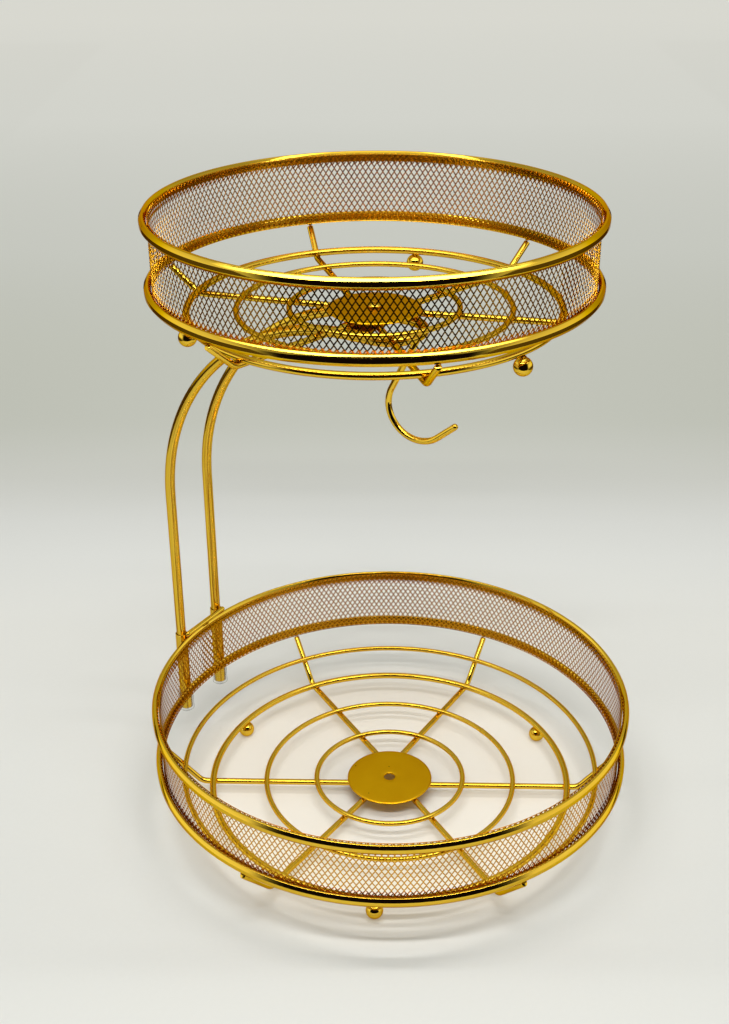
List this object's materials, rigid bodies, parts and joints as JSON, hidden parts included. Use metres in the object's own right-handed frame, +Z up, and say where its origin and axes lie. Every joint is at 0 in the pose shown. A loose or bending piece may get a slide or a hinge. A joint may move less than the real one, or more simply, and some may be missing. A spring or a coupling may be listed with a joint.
{
  "type": "two-tier wire fruit basket",
  "caption": "Two-tier round wire fruit basket with mesh walls, a gooseneck arm that plugs into the lower basket, and a banana hook under the upper one.",
  "frame": {"origin": "centre of the stand's outline on the table, under the three ball feet", "axes": "+Z up, +Y towards the arm at the back, the hook opens towards -Y"},
  "size_m": [0.3, 0.3082, 0.3909],
  "materials": {
    "gold_plate": "bright gold plating on round and oval steel wire and tube",
    "gold_mesh": "gold-plated expanded steel mesh",
    "satin_gold": "gold plating on a stamped steel disc, slightly satin",
    "gold_screw": "gold-plated pan-head screw and nut",
    "clear_plastic": "clear soft plastic"
  },
  "bodies": {
    "lower_basket": {"lower_top_rim": "gold_plate", "lower_bottom_rim": "gold_plate", "lower_mesh_wall": "gold_mesh", "lower_ring_1": "gold_plate", "lower_ring_2": "gold_plate", "lower_ring_3": "gold_plate", "lower_ring_4": "gold_plate", "lower_spoke_1": "gold_plate", "lower_spoke_2": "gold_plate", "lower_spoke_3": "gold_plate", "lower_disc": "satin_gold", "lower_foot_1": "gold_plate", "lower_foot_2": "gold_plate", "lower_foot_3": "gold_plate", "sleeve_left": "gold_plate", "sleeve_right": "gold_plate", "sleeve_cap_left": "clear_plastic", "sleeve_cap_right": "clear_plastic", "sleeve_rod": "gold_plate"},
    "arm": {"arm_tube": "gold_plate", "arm_plate": "gold_plate", "banana_hook": "gold_plate", "clamp_screw": "gold_screw", "clamp_nut": "gold_screw"},
    "upper_basket": {"upper_top_rim": "gold_plate", "upper_bottom_rim": "gold_plate", "upper_mesh_wall": "gold_mesh", "upper_ring_1": "gold_plate", "upper_ring_2": "gold_plate", "upper_ring_3": "gold_plate", "upper_spoke_1": "gold_plate", "upper_spoke_2": "gold_plate", "upper_spoke_3": "gold_plate", "upper_disc": "satin_gold", "upper_foot_1": "gold_plate", "upper_foot_2": "gold_plate", "upper_foot_3": "gold_plate"}
  },
  "joints": [
    {"name": "arm_lift", "type": "slide", "parent": "lower_basket", "child": "arm", "axis": [0, 0, 1], "range_m": [0, 0.058]},
    {"name": "upper_basket_turn", "type": "hinge", "parent": "arm", "child": "upper_basket", "pos_m": [0, 0.00671, 0.33008], "axis": [0, 0, 1], "continuous": true}
  ]
}
